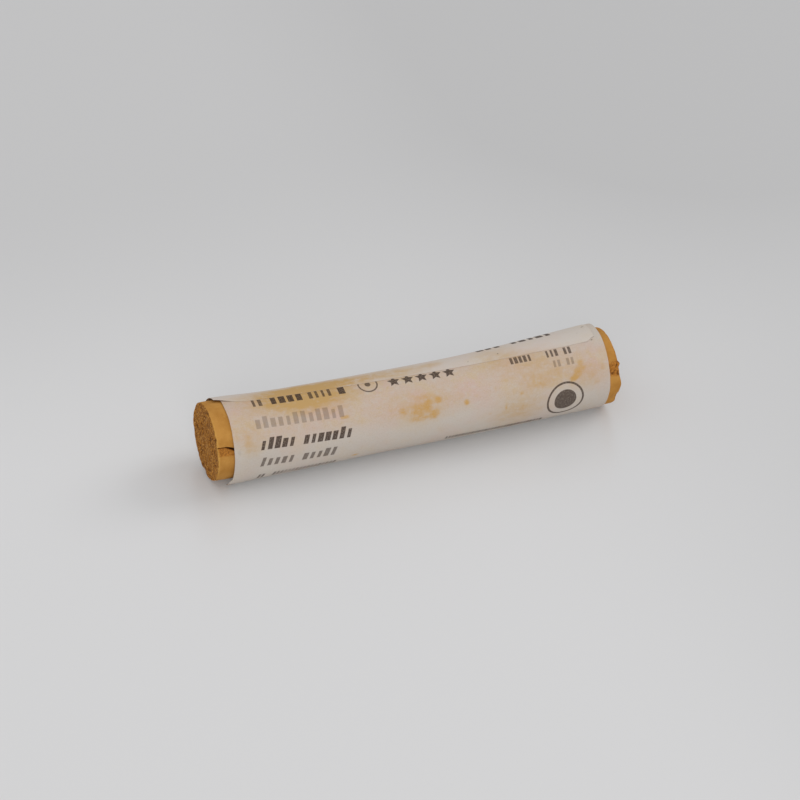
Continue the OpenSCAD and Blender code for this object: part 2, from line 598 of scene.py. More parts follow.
@dataclass(frozen=True)
class LabelPaper:
    """Thin uncoated paper, slightly see-through over the stick, smudged and printed."""

    clear_of_stick: Colour = paint(192, 183, 173)
    doubled: Colour = paint(205, 200, 194)
    over_stick: Colour = paint(192, 171, 154)
    pinkish: Colour = paint(196, 167, 156)
    sallow: Colour = paint(194, 173, 144)
    oiled: Colour = paint(186, 151, 98)
    dusty: Colour = paint(191, 164, 126)
    smudge: Colour = paint(189, 149, 90)
    soot: Colour = paint(112, 100, 86)
    ink: Colour = paint(62, 46, 36)

    def material(self) -> bpy.types.Material:
        """Build the material. The mesh carries flat places, smudges, and how far the paper stands
        off together with painted light on its lower side.

        Returns:
            The finished material.
        """
        graph = Graph("label_paper")
        flat = graph.attribute("sheet_mm", "Vector")
        across, along, side = graph.split(flat)
        names = ("stands_off", "lapped", "smudged", "oiled", "specked")
        stands_off, lapped, smudged, oiled, specked = map(graph.attribute, names)
        clouds = graph.noise(flat, 6.5, 3.0)
        blotch = graph.noise(graph.vector("ADD", flat, (31.0, 7.0, 0.0)), 3.4, 4.0, 0.6)
        streaks = graph.noise(graph.vector("MULTIPLY", flat, (0.5, 1.4, 1.0)), 1.1, 4.0, 0.6)
        fibre = graph.noise(graph.vector("MULTIPLY", flat, (1.0, 2.6, 1.0)), 0.28, 4.0, 0.65)
        grit = graph.noise(flat, 0.2, 2.0, 0.7)
        patchy = graph.noise(flat, 0.9, 4.0, 0.65)

        pressed = 1 - 0.75 * stands_off
        soaked = oiled * (0.45 + 0.4 * patchy.rise(0.3, 0.6) + 0.3 * streaks.rise(0.6, 0.4))
        dry = smudged * (0.6 + 0.6 * patchy.rise(0.3, 0.7) + 1.5 * (grit - 0.5))
        inked = overlaid(mark.mask(graph, across, along) for mark in PRINT)
        printed = inked * (0.76 + 0.24 * grit.rise(0.35, 0.55)) * side.rise(0.5, 0.4)
        colour = graph.layered(
            self.over_stick,
            # Paler where the paper stands off the stick, and painted light on its lower side.
            (stands_off, self.clear_of_stick),
            (clouds.rise(0.46, 0.64) * 0.7 * pressed, self.pinkish),
            (blotch.rise(0.48, 0.66) * 0.75 * pressed, self.sallow),
            (streaks.rise(0.5, 0.72) * 0.4, self.clear_of_stick),
            (patchy.rise(0.5, 0.7) * 0.45 * pressed, self.dusty),
            (patchy.rise(0.48, 0.34) * 0.35 * pressed, self.clear_of_stick),
            (fibre.rise(0.42, 0.74) * 0.42, self.clear_of_stick),
            (grit.rise(0.58, 0.74) * 0.35, self.doubled),
            (grit.rise(0.5, 0.3) * 0.12, self.soot),
            (lapped * 0.5, self.doubled),
            (soaked, self.oiled),
            (dry.rise(0.0, 1.0) * 0.95, self.smudge),
            (specked.rise(0.2, 0.7) * 0.8, self.soot),
            (printed, self.ink),
        )
        rough = 0.62 + 0.12 * fibre - 0.06 * printed
        height = fibre * 0.6 + grit * 0.4
        normal = graph.bump(height, 0.00003, 0.5)
        return graph.finish(
            Base_Color=colour, Roughness=rough, Normal=normal, Specular_IOR_Level=0.22
        )


# ---- the stick


@dataclass(frozen=True)
class Grain:
    """Layers of unevenness at each place on the stick, from wide swells to fine dust."""

    swell: np.ndarray
    lumps: np.ndarray
    grains: np.ndarray
    holes: np.ndarray
    dust: np.ndarray

    @classmethod
    def at(cls, points: np.ndarray) -> "Grain":
        """Work the layers out.

        Args:
            points: Places in millimetres.

        Returns:
            The layers at those places.
        """
        layers = ((2.4, 2, 11), (0.75, 2, 23), (0.27, 2, 37), (0.42, 1, 51), (0.35, 3, 67))
        swell, lumps, grains, holes, dust = (rumple(points, *layer) for layer in layers)
        return cls(swell, lumps, grains, np.clip(holes - 0.25, 0, 1), dust)

    def relief(self, **heights: float) -> np.ndarray:
        """Add up the layers that are named, each as high as its number in millimetres."""
        return sum(height * getattr(self, name) for name, height in heights.items())


@dataclass
class Skin:
    """The stick's surface as a grid, one row for each station and one column for each angle.

    Lengths are in millimetres and angles in degrees. The axis is straight, at height zero.
    Inside is the distance in from the round side.
    """

    points: np.ndarray
    outwards: np.ndarray
    turns: np.ndarray
    inside: np.ndarray
    from_near: np.ndarray
    from_far: np.ndarray
    on_near: np.ndarray
    on_far: np.ndarray

    @property
    def side(self) -> np.ndarray:
        """Tell which places are on the round side."""
        return ~(self.on_near | self.on_far)

    @property
    def facing(self) -> np.ndarray:
        """Work out which way the surface faces.

        Returns:
            The direction at each place.
        """
        facing = self.outwards.copy()
        facing[self.on_near] = (-1, 0, 0)
        facing[self.on_far] = (1, 0, 0)
        return facing


@dataclass(frozen=True)
class Chip:
    """A rough hollow in the rim, as if a ball had been pressed in, in millimetres."""

    at: float
    along: float
    size: float
    depth: float
    rough: float = 0.1

    def press(self, points: np.ndarray, radius: float, end: float) -> np.ndarray:
        """Press the hollow in.

        Args:
            points: Places on the stick, moved in place.
            radius: The stick's radius.
            end: Place of the stick's end, from which the ball lies along its length.

        Returns:
            How far each place was moved.
        """
        reach, angle = radius + self.size - self.depth, radians(self.at)
        ball = np.array([end + self.along, -reach * sin(angle), reach * cos(angle)])
        offset = points - ball
        distance = np.linalg.norm(offset, axis=-1)
        wall = self.size + self.rough * rumple(points, 0.3, 2, int(self.at))
        moved = np.clip(wall - distance, 0, None)
        points += offset / np.maximum(distance, 1e-6)[..., None] * moved[..., None]
        return moved


NEAR_CHIPS = (
    Chip(184.0, 0.05, 1.05, 0.55, 0.16),
    Chip(226.0, 0.0, 0.6, 0.2),
    Chip(158.0, 0.1, 0.7, 0.2),
    Chip(332.0, 0.0, 0.5, 0.16),
)
FAR_CHIP = Chip(250.0, 0.0, 0.9, 0.3)
FAR_BEVEL = Chip(113.0, 0.3, 3.2, 0.4, 0.02)


@dataclass
class PastelStick:
    """The pressed stick: broken at its near end, cracked beside it, and worn at the far end."""

    low: Vector
    high: Vector
    bow: float = 0.75
    face_yaw: float = 0.2
    face_lean: float = -0.4
    face_hollow: float = 0.12
    far_yaw: float = 1.0
    edge_round: float = 0.16
    rim_width: float = 0.4
    thinned: float = 0.06
    around: int = 480
    face_rings: tuple[int, int] = (58, 40)
    side_rings: tuple[int, int] = (52, 36)
    hubs: tuple[float, float] = (0.09, 0.12)
    near_fine: float = 5.0
    far_fine: float = 3.6
    crack_at: float = 65.0
    crack_length: float = 5.0
    crack_half: tuple[float, float] = (0.11, 0.27)
    crack_depths: tuple[float, float] = (0.25, 0.9)
    flake_sweep: float = 15.0
    flake_length: float = 6.0
    flake_depth: float = 0.2
    dent_at: float = 64.0
    dent_spots: tuple[float, float] = (-10.5, 2.5)
    knob_out: float = 0.26
    dent_in: float = 0.1
    bulge_at: float = 86.0
    bulge_out: float = 0.24
    bulge_up: float = 0.08
    radius: float = field(init=False)
    axis: float = field(init=False)

    def __post_init__(self) -> None:
        """Take the stick's radius and the height of its axis from its solid."""
        self.radius = (self.high.z - self.low.z) / 2 / MM
        self.axis = (self.high.z + self.low.z) / 2 / MM

    def axis_y(self, x: np.ndarray) -> np.ndarray:
        """Bow the axis.

        Args:
            x: Places along the stick.

        Returns:
            The axis's place from front to back at each of them.
        """
        half = (self.high.x - self.low.x) / 2 / MM
        bend = (half**2 + self.bow**2) / (2 * self.bow)
        return bend - self.bow / 3 - np.sqrt(bend**2 - x**2)

    def angles(self) -> np.ndarray:
        """Spread the angles round the stick, closer together over the crack and the flake.

        Returns:
            The angle of each column, in degrees.
        """
        samples = 7200
        even = np.linspace(0, TURN, samples, endpoint=False)
        density = 1 + 1.6 * near_angle(even, self.crack_at + 8, 34)
        reached = np.cumsum(density) / density.sum()
        return np.interp((np.arange(self.around) + 0.5) / self.around, reached, even)

    def stations(self) -> tuple[np.ndarray, np.ndarray, np.ndarray]:
        """Lay out the stick's outline from the middle of one face to the middle of the other.

        Returns:
            For each station the distance from the axis, the share of the way along the
            stick, and the distance past that share.
        """
        r, bend = self.radius, self.edge_round
        flat = r - bend
        quarter = np.linspace(0, pi / 2, 5)[1:-1]
        between = np.linspace(0, 1, 8)[1:-1]
        parts = (
            (np.linspace(self.hubs[0], flat, self.face_rings[0]), 0.0, 0.0),
            (flat + bend * np.sin(quarter), 0.0, bend * (1 - np.cos(quarter))),
            (r, 0.0, np.linspace(bend, self.near_fine, self.side_rings[0])),
            (r, between, self.near_fine * (1 - between) - self.far_fine * between),
            (r, 1.0, np.linspace(-self.far_fine, -bend, self.side_rings[1])),
            (flat + bend * np.cos(quarter), 1.0, -bend * (1 - np.sin(quarter))),
            (np.linspace(flat, self.hubs[1], self.face_rings[1]), 1.0, 0.0),
        )
        columns = zip(*(np.broadcast_arrays(*part) for part in parts))
        return tuple(np.concatenate(column) for column in columns)

    def waist(self, x: np.ndarray) -> np.ndarray:
        """Return how much thinner the stick is, away from its two ends."""
        from_near, from_far = x - self.low.x / MM, self.high.x / MM - x
        return self.thinned * ease((from_near - 3.2) / 6) * ease((from_far - 2.4) / 6)

    def near_plane(self, y: np.ndarray, z: np.ndarray) -> np.ndarray:
        """Slant the broken face.

        Args:
            y: Places from front to back.
            z: Heights over the axis.

        Returns:
            The face's place along the stick.
        """
        yaw, lean = np.tan(np.radians([self.face_yaw, self.face_lean]))
        slant = self.radius * float(np.hypot(yaw, lean))
        return self.low.x / MM + slant + y * yaw + z * lean

    def far_plane(self, y: np.ndarray) -> np.ndarray:
        """Return the place of the far face along the stick."""
        yaw = float(np.tan(radians(self.far_yaw)))
        return self.high.x / MM - self.radius * yaw - y * yaw

    def smooth_skin(self) -> Skin:
        """Lay out the stick's surface before it is broken and worn.

        Returns:
            The surface as a grid.
        """
        reach, share, past = (column[:, None] for column in self.stations())
        degrees = self.angles()[None, :]
        angle = np.radians(degrees)
        y, z = -reach * np.sin(angle), reach * np.cos(angle)
        near, far = self.near_plane(y, z), self.far_plane(y)
        x = near * (1 - share) + far * share + past
        outwards = np.stack([np.zeros_like(y), -np.sin(angle) + 0 * y, np.cos(angle) + 0 * y], -1)
        face_edge = self.edge_round * 0.6
        return Skin(
            points=np.stack([x, y, z], -1),
            outwards=outwards,
            turns=np.broadcast_to(degrees, x.shape),
            inside=self.radius - reach,
            from_near=x - near,
            from_far=far - x,
            on_near=(x - near < face_edge) & (share < 0.5),
            on_far=(far - x < face_edge) & (share > 0.5),
        )

    def build(self) -> bpy.types.Object:
        """Build the stick and dress it.

        Returns:
            The finished piece.
        """
        skin = self.smooth_skin()
        side, grain = skin.side, Grain.at(skin.points)
        broken = np.where(skin.on_near, 1.0, np.where(skin.on_far, 0.75, 0.0))
        worn = ease(1 - skin.from_near / 0.35) * ease(1 - skin.inside / 0.25)
        worn = worn * near_angle(skin.turns, 75, 75)
        # Painted shade: the sunk holes of the two faces are marked to be coloured dark.
        pit = np.clip(grain.holes * 2.2 - 0.3 * grain.grains, 0, 1) * ~side

        flake = self.flake_mask(skin) * side
        crack = self.crack_depth(skin) * side
        scar, knob, dent = self.dented_rim(skin)
        # Painted shade also in the low grains and the dent of the far rim's crumbly spot.
        pit = np.maximum(pit, scar * np.clip(0.3 - 1.8 * grain.grains + 0.5 * dent, 0, 1))
        rise = self.roughness(skin, grain) + self.flaked(skin, grain, flake) - crack
        rise += scar * grain.relief(grains=0.09, lumps=0.05, holes=-0.1)
        rise += 0.1 * knob - 0.12 * dent
        points = skin.points + skin.facing * rise[..., None]
        past_end = self.knob_out * knob - self.dent_in * dent
        points[..., 0] += past_end * ease(1 - skin.from_far / 1.2)
        bulge = near_angle(skin.turns, self.bulge_at, 17) * ease(1 - skin.from_far / 1.6)
        points[..., 0] += self.bulge_out * bulge
        points = points + skin.outwards * (self.bulge_up * bulge)[..., None]

        near_x, far_x = self.low.x / MM, self.high.x / MM
        chip = sum(hollow.press(points, self.radius, near_x) for hollow in NEAR_CHIPS)
        chip += FAR_CHIP.press(points, self.radius, far_x)
        FAR_BEVEL.press(points, self.radius, far_x)
        broken = np.maximum(broken, np.clip(chip * 2, 0, 1))
        # Painted shade in the crack and in the chipped hollows.
        pit = np.maximum(pit, np.clip(np.maximum(crack * 3, chip * 1.7 - 0.25), 0, 1))

        thinner = np.where(side, self.waist(points[..., 0]), 0)
        points = points - skin.outwards * thinner[..., None]
        points[..., 1] += self.axis_y(points[..., 0])
        points[..., 2] += self.axis
        flaked = np.clip(flake + scar, 0, 1)
        return self.dress(points, broken=broken, flaked=flaked, worn=worn, pit=pit)

    def roughness(self, skin: Skin, grain: Grain) -> np.ndarray:
        """Roughen the faces, the rims and, a little, the side.

        Args:
            skin: The smooth surface.
            grain: The layers of unevenness.

        Returns:
            How far each place rises.
        """
        reach = (self.radius - skin.inside) / self.radius
        face = grain.relief(swell=0.1, lumps=0.06, grains=0.055, holes=-0.28)
        face = face - self.face_hollow * (1 - reach**2)
        face = face * (ease(skin.inside / 0.3) * 0.6 + 0.4)
        face = face * np.where(skin.on_near, 1.0, 0.5)
        rise = np.where(skin.side, grain.relief(dust=0.012, swell=0.02), face)
        rim = (skin.from_near < self.rim_width) | (skin.from_far < self.rim_width)
        crumbled = 0.05 * np.clip(grain.lumps + 0.2, 0, 1) + 0.02 * abs(grain.grains)
        return rise - crumbled * (skin.side & rim)

    def flake_mask(self, skin: Skin) -> np.ndarray:
        """Mark where the flake under the crack broke away.

        Args:
            skin: The smooth surface.

        Returns:
            The mark, from 0 to 1.
        """
        edge = 2.2 * rumple(skin.points, 0.8, 2, 5)
        crack = self.crack_at + self.drift(skin.from_near)
        under_crack = ease((skin.turns - crack + 1.0) / 1.2)
        runs_out = ease((self.crack_at + self.flake_sweep + edge - skin.turns) / 3.5)
        return under_crack * runs_out * ease(self.flake_length - skin.from_near)

    def flaked(self, skin: Skin, grain: Grain, flake: np.ndarray) -> np.ndarray:
        """Sink the place where the flake broke away, deepest along the crack.

        Args:
            skin: The smooth surface.
            grain: The layers of unevenness.
            flake: The mark of the flake.

        Returns:
            How far each place rises.
        """
        sunk = self.flake_depth * ease(1 - (skin.turns - self.crack_at) / self.flake_sweep)
        return flake * (grain.relief(grains=0.035, lumps=0.03, holes=-0.05) - sunk)

    def drift(self, from_near: np.ndarray) -> np.ndarray:
        """Bend the crack down towards the paper, in degrees."""
        return 5.5 * np.clip((from_near - 1.3) / 1.1, 0, 2)

    def crack_depth(self, skin: Skin) -> np.ndarray:
        """Open the crack, wider and deeper towards the paper.

        Args:
            skin: The smooth surface.

        Returns:
            How deep the crack is at each place.
        """
        from_near = skin.from_near
        line = np.stack([from_near, 0 * from_near, 0 * from_near], -1)
        wander = 0.07 * rumple(line, 0.5, 2, 71)
        middle = self.radius * np.radians(self.crack_at + self.drift(from_near)) + wander
        off = abs(self.radius * np.radians(skin.turns) - middle)
        (narrow, wide), (shallow, deep) = self.crack_half, self.crack_depths
        half = narrow + (wide - narrow) * ease((from_near - 1.0) / 1.4)
        depth = shallow + (deep - shallow) * ease((from_near - 0.9) / 1.3)
        runs_out = ease((self.crack_length - from_near) / 0.6)
        return depth * ease(1.25 * (1 - off / half)) * runs_out

    def dented_rim(self, skin: Skin) -> tuple[np.ndarray, np.ndarray, np.ndarray]:
        """Mark the crumbly spot on the far rim, with a knob and a dent in it.

        Args:
            skin: The smooth surface.

        Returns:
            The marks of the spot, the knob and the dent, from 0 to 1.
        """
        from_dent = skin.turns - self.dent_at
        around = (from_dent + 4) * 0.096 / 1.4
        scar = ease(2.6 - 2.6 * np.hypot(around, (skin.from_far - 0.3) / 2.1)) * skin.side
        knob, dent = (ease(1 - abs(from_dent - at) / 7.5) * scar for at in self.dent_spots)
        return scar, knob, dent

    def dress(self, points: np.ndarray, **values: np.ndarray) -> bpy.types.Object:
        """Turn the grid into the finished piece.

        Args:
            points: Places in millimetres, as a grid.
            **values: Numbers for the shader at the same places.

        Returns:
            The finished piece.
        """
        rows, columns = points.shape[:2]
        ends = np.stack([points[0].mean(0), points[-1].mean(0)])
        ring = np.arange(columns)
        after = (ring + 1) % columns
        near_hub, far_hub, last = rows * columns, rows * columns + 1, (rows - 1) * columns
        near_fan = np.stack([0 * ring + near_hub, ring, after, after], -1)
        far_fan = np.stack([0 * ring + far_hub, last + after, last + ring, last + ring], -1)
        sides = quads(rows, columns, closed=True)
        piece = make_piece(
            "pressed_stick",
            np.concatenate([points.reshape(-1, 3), ends]),
            np.concatenate([sides, near_fan, far_fan]),
            {
                name: np.concatenate([value.ravel(), value[0, :1], value[-1, :1]])
                for name, value in values.items()
            },
            sharp_over=75,
        )
        piece.data.materials.append(PressedPigment().material())
        return piece


# ---- the label


@dataclass(frozen=True)
class Smudge:
    """A soft smear on the rolled label, in millimetres and degrees."""

    x: float
    at: float
    length: float
    height: float
    strength: float
    tilt: float = 0.0

    def cover(self, x: np.ndarray, angle: np.ndarray, radius: float) -> np.ndarray:
        """Spread the smear.

        Args:
            x: Places along the stick.
            angle: Places round the stick.
            radius: Distance of the paper from the axis.

        Returns:
            How strong the smear is at each place.
        """
        tilt = radians(self.tilt)
        right = x - self.x
        down = np.radians(turned(angle, self.at)) * radius
        u = (right * cos(tilt) + down * sin(tilt)) / self.length
        v = (down * cos(tilt) - right * sin(tilt)) / self.height
        return self.strength * ease(1.15 - np.hypot(u, v) * 0.85)


def smears(*rows: tuple[float, ...]) -> tuple[Smudge, ...]:
    """Turn rows of numbers into smears, with the fields in their order."""
    return tuple(Smudge(*row) for row in rows)


# Dry smudges, oily stains and dark specks, placed by their middle along and round the stick.
SMUDGES = smears(
    (-0.3, 60.0, 3.4, 2.2, 0.46), (1.2, 71.0, 1.2, 0.7, 0.3), (-3.1, 57.7, 0.8, 0.7, 0.5),
    (-0.9, 60.4, 1.3, 0.9, 0.3), (0.5, 54.9, 1.1, 0.8, 0.55, -35), (2.35, 51.0, 0.6, 0.55, 0.95),
    (1.6, 68.6, 0.7, 0.5, 0.6), (-1.0, 73.0, 1.4, 0.4, 0.5), (1.6, 74.4, 0.5, 0.2, 0.5),
    (0.4, 43.3, 1.7, 0.5, 0.35), (6.4, 62.3, 0.5, 0.5, 1.1), (5.6, 55.3, 0.9, 0.5, 0.3),
    (-12.8, 37.2, 0.45, 0.45, 0.9), (-11.5, 50.8, 0.85, 0.28, 1.0), (-5.6, 24.1, 0.7, 0.15, 0.45),
    (-4.2, 24.2, 0.5, 0.15, 0.3), (-10.0, 120.9, 0.7, 0.3, 0.9), (22.8, 60.5, 0.75, 0.5, 1.1),
    (23.5, 54.0, 0.8, 0.8, 0.95), (24.2, 43.0, 0.7, 1.0, 0.6), (24.7, 49.4, 0.4, 0.4, 0.4),
    (27.4, 53.9, 0.5, 0.6, 0.5), (26.2, 72.6, 0.9, 0.5, 0.3), (26.5, 85.7, 0.4, 0.6, 0.22),
    (14.7, 66.6, 0.35, 0.35, 0.8), (12.3, 81.8, 0.22, 0.75, 0.65, 15),
    (13.3, 78.8, 0.4, 0.3, 0.35), (14.8, 87.7, 0.3, 0.6, 0.5), (9.8, 88.1, 0.25, 0.25, 0.5),
    (16.8, 50.0, 2.4, 1.5, 0.36), (18.5, 58.0, 2.4, 0.9, 0.32), (12.9, 38.5, 1.5, 0.9, 0.28),
    (20.6, 46.1, 1.4, 1.0, 0.34), (25.5, 62.0, 1.0, 0.5, 0.36), (-25.8, 56.0, 1.0, 1.2, 0.32),
    (-25.9, 67.0, 0.6, 0.5, 0.3), (-17.0, 200, 3.0, 1.4, 0.4), (4.0, 235, 4.0, 1.5, 0.35, 8),
    (17.0, 285, 3.5, 1.2, 0.3, -6), (-6.0, 300, 2.0, 1.0, 0.35),
)
OILED = smears(
    (-16.5, 16.5, 8.5, 1.7, 1.0, 2), (-15.5, 1.0, 9.0, 1.8, 0.75), (-16.5, -9.5, 10.0, 1.5, 0.8),
    (-3.0, -9.5, 6.5, 1.7, 0.6), (-15.5, 33.0, 6.0, 1.6, 0.3), (15.5, 17.0, 6.0, 2.0, 0.4),
    (19.5, 44.0, 5.5, 2.4, 0.32), (15.0, 84.0, 5.0, 2.6, 0.28), (-0.5, 55.0, 6.5, 2.6, 0.3),
    (-25.5, 50.0, 2.6, 3.4, 0.22), (8.0, 262, 9.0, 3.0, 0.3), (-14.0, -20.0, 9.5, 1.3, 0.55),
    (3.3, -14.0, 1.8, 0.9, 0.35), (12.5, -6.0, 3.6, 2.2, 0.32), (25.0, 60.0, 3.0, 2.4, 0.34),
    (13.5, 102.0, 4.2, 3.0, 0.3), (-25.3, 73.0, 1.5, 1.3, 0.3),
)
SPECKS = smears(
    (27.0, -22.5, 0.35, 0.14, 1.0, -15), (25.5, -7.6, 0.16, 0.16, 0.7),
    (27.1, 9.8, 0.4, 0.1, 0.8, -10), (13.1, -5.2, 0.16, 0.2, 0.8), (23.3, 9.1, 0.1, 0.2, 0.8),
    (8.4, -0.8, 0.12, 0.12, 0.6), (-27.0, 75.0, 0.5, 0.8, 0.35),
)


@dataclass(frozen=True)
class Flare:
    """A loose place at one end of the label, in millimetres and degrees."""

    off: float
    reach: float
    at: float
    sweep: float

    def lift(self, from_end: np.ndarray, angle: np.ndarray) -> np.ndarray:
        """Return how far the paper stands off there."""
        return self.off * ease(1 - from_end / self.reach) * near_angle(angle, self.at, self.sweep)


@dataclass(frozen=True)
class EdgeStep:
    """A tongue, or with a negative size a notch, in the sheet's left edge, in millimetres."""

    size: float
    start: float
    rise: float
    end: float
    fall: float

    def reach(self, along: np.ndarray) -> np.ndarray:
        """Return how far it sticks out of the edge."""
        grown = ease((along - self.start) / self.rise)
        return self.size * grown * ease((self.end - along) / self.fall)


@dataclass
class RolledLabel:
    """The thin paper label, rolled once round the stick and glued onto its own start."""

    stick: PastelStick
    width: float = 56.0
    start: float = 2.7
    lap: float = 7.0
    ramp: float = 3.0
    thickness: float = 0.05
    gap: float = 0.01
    lap_gap: float = 0.005
    turn_radius: float = 5.595
    skew: float = 1.6
    seam_at: float = -4.0
    rest_flat: float = 2.4
    corner_lift: float = 0.2
    far_corner_lift: float = 0.05
    corner_cut: float = 1.25
    far_corner_cut: float = 0.6
    edge_wobble: float = 0.05
    wave: float = 0.014
    ripple: float = 0.006
    flutter: float = 0.035
    near_flares: tuple[Flare, ...] = (
        Flare(0.22, 10, -60, 80), Flare(0.25, 4, 95, 62), Flare(0.55, 24, 136, 44)
    )
    far_flares: tuple[Flare, ...] = (Flare(0.65, 24, -45, 105),)
    edge_steps: tuple[EdgeStep, ...] = (
        EdgeStep(0.4, 19.0, 1.0, 22.0, 0.9), EdgeStep(-1.4, 21.4, 1.0, 27.5, 2.0)
    )
    cells_across: int = 216
    cells_along: int = 172

    @property
    def turn(self) -> float:
        """Return the length of one turn of the paper."""
        return 2 * pi * self.turn_radius

    @property
    def length(self) -> float:
        """Return the length of the flat sheet."""
        return self.turn + self.lap

    def stand_off(self, x: np.ndarray, angle: np.ndarray) -> np.ndarray:
        """Return how far the paper stands off the stick.

        Args:
            x: Place along the stick.
            angle: Place round the stick in degrees.

        Returns:
            The gap beyond the paper's least clearance.
        """
        left = self.stick.low.x / MM + self.start
        from_left, from_right = x - left, left + self.width - x
        height = self.stick.axis
        slack = float(np.hypot(height, self.rest_flat / 2)) - height
        under = ease((75 - abs(turned(angle, 180))) / 50)
        loose = sum(flare.lift(from_left, angle) for flare in self.near_flares)
        loose = loose + sum(flare.lift(from_right, angle) for flare in self.far_flares)
        turns = np.radians(angle)
        wrap = np.stack([x / 2.6, 6 * np.cos(turns), 6 * np.sin(turns)], -1)
        waves = self.wave * (1 + rumple(wrap, 3.4, 2, 3))
        waves = waves + self.ripple * (1 + rumple(wrap * 2.6, 2.2, 2, 9))
        ends = ease(1 - from_left / 4) + ease(1 - from_right / 4)
        flutter = self.flutter * ends * (1.3 + rumple(wrap, 2.2, 1, 15))
        return slack * under + loose + waves + flutter - self.stick.waist(x)

    def roll(self, across: np.ndarray, along: np.ndarray, depth: float) -> tuple[np.ndarray, ...]:
        """Roll the flat sheet round the stick.

        Args:
            across: Place across the flat sheet, along the stick.
            along: Place along the flat sheet, from its hidden start to its free edge.
            depth: Zero on the outer side and the paper's thickness on the inner side.

        Returns:
            Places in millimetres, the angle round the stick, how far the paper stands off
            there, and how far it has climbed onto its own start, from 0 to 1.
        """
        skew = radians(self.skew)
        x = self.stick.low.x / MM + self.start + across * cos(skew) - along * sin(skew)
        arc = (along - self.length) * cos(skew) + across * sin(skew)
        angle = self.seam_at + np.degrees(arc / self.turn_radius)
        lapped = ease((along - (self.turn - self.ramp)) / self.ramp)
        to_edge, to_far = self.length - along, self.width - across
        curl = self.corner_lift * ease(1 - across / 3) * ease(1 - to_edge / 4)
        far_curl = self.far_corner_lift * ease(1 - to_far / 3) * ease(1 - to_edge / 3)
        off = self.stand_off(x, angle) + lapped * (self.thickness + self.lap_gap)
        off = off + curl + far_curl
        r = self.stick.radius + self.gap + self.thickness + off
        turns = np.radians(angle)
        downwards = -np.cos(turns)
        faces_down = downwards > 0.2
        floor = self.stick.axis / np.where(faces_down, downwards, 1)
        r = np.where(faces_down, np.minimum(r, floor), r) - depth
        y = self.stick.axis_y(x) - r * np.sin(turns)
        z = self.stick.axis + r * np.cos(turns)
        return np.stack([x, y, z], -1), angle, off, lapped

    def sheet_grid(self) -> tuple[np.ndarray, np.ndarray]:
        """Lay a grid on the flat sheet, with uneven edges, rounded corners and a small tear.

        Returns:
            The places across and along the flat sheet.
        """
        across, along = np.meshgrid(
            np.linspace(0, self.width, self.cells_across + 1),
            np.linspace(0, self.length, self.cells_along + 1),
            indexing="ij",
        )
        wobble = self.edge_wobble * rumple(np.stack([across, along, 0 * across], -1), 1.6, 3, 81)
        sticks_out = sum(step.reach(along) for step in self.edge_steps)
        near = ease(1 - across) * wobble - ease(1 - across / 3.0) * sticks_out
        to_far, to_edge = self.width - across, self.length - along
        far = ease(1 - to_far) * wobble
        along = along + 0.6 * ease(1 - to_edge) * wobble
        corner = self.corner_cut * np.clip(1 - across / 4.6, 0, 1) ** 1.6
        corner = corner + self.far_corner_cut * ease(1 - to_far / 1.4)
        to_edge = self.length - along
        return across + near + far, along - corner * ease(1 - to_edge / 5.0)

    def carried(self, place: tuple[np.ndarray, ...], side: int) -> dict[str, np.ndarray]:
        """Work out the shader's values on one side of the paper.

        Args:
            place: Across, along, x, angle, stand-off and lap at each vertex.
            side: 0 on the outer side and 1 on the inner side.

        Returns:
            Named values, one row for each vertex.
        """
        across, along, x, angle, off, lapped = (values.ravel() for values in place)
        # Paler where the paper stands clear of the stick. From about 85 to 215 degrees, fading
        # out by 50 and 250, it is also painted paler, as painted light from the floor on the
        # lower side.
        slack = ease((off - 0.1) / 0.35) + 0.9 * ease(2.9 - abs(turned(angle, 150)) / 34)
        marks = {"smudged": SMUDGES, "oiled": OILED, "specked": SPECKS}
        return {
            "sheet_mm": np.stack([across, along, 0 * across + side], -1),
            "stands_off": np.clip(slack * (1 - 0.5 * lapped), 0, 1),
            "lapped": lapped,
        } | {
            name: (1.0 - side) * sum(mark.cover(x, angle, self.turn_radius) for mark in layer)
            for name, layer in marks.items()
        }

    def build(self) -> bpy.types.Object:
        """Build the paper and dress it.

        Returns:
            The finished piece.
        """
        across, along = self.sheet_grid()
        places, carried = [], []
        for side, depth in enumerate((0.0, self.thickness)):
            points, angle, off, lapped = self.roll(across, along, depth)
            places.append(points.reshape(-1, 3))
            place = (across, along, points[..., 0], angle, off, lapped)
            carried.append(self.carried(place, side))
        rows, columns = across.shape
        count = rows * columns
        outer = quads(rows, columns, closed=False)[:, ::-1]
        inner = outer[:, ::-1] + count
        border = np.concatenate([
            np.arange(columns),
            np.arange(2, rows + 1) * columns - 1,
            (rows - 1) * columns + np.arange(columns - 1)[::-1],
            np.arange(1, rows - 1)[::-1] * columns,
        ])
        after = np.roll(border, -1)
        cut = np.stack([border, after, after + count, border + count], -1)
        piece = make_piece(
            "rolled_label",
            np.concatenate(places),
            np.concatenate([outer, inner, cut]),
            {name: np.concatenate([values[name] for values in carried]) for name in carried[0]},
            sharp_over=50,
        )
        piece.data.materials.append(LabelPaper().material())
        return piece


# ---- the surroundings


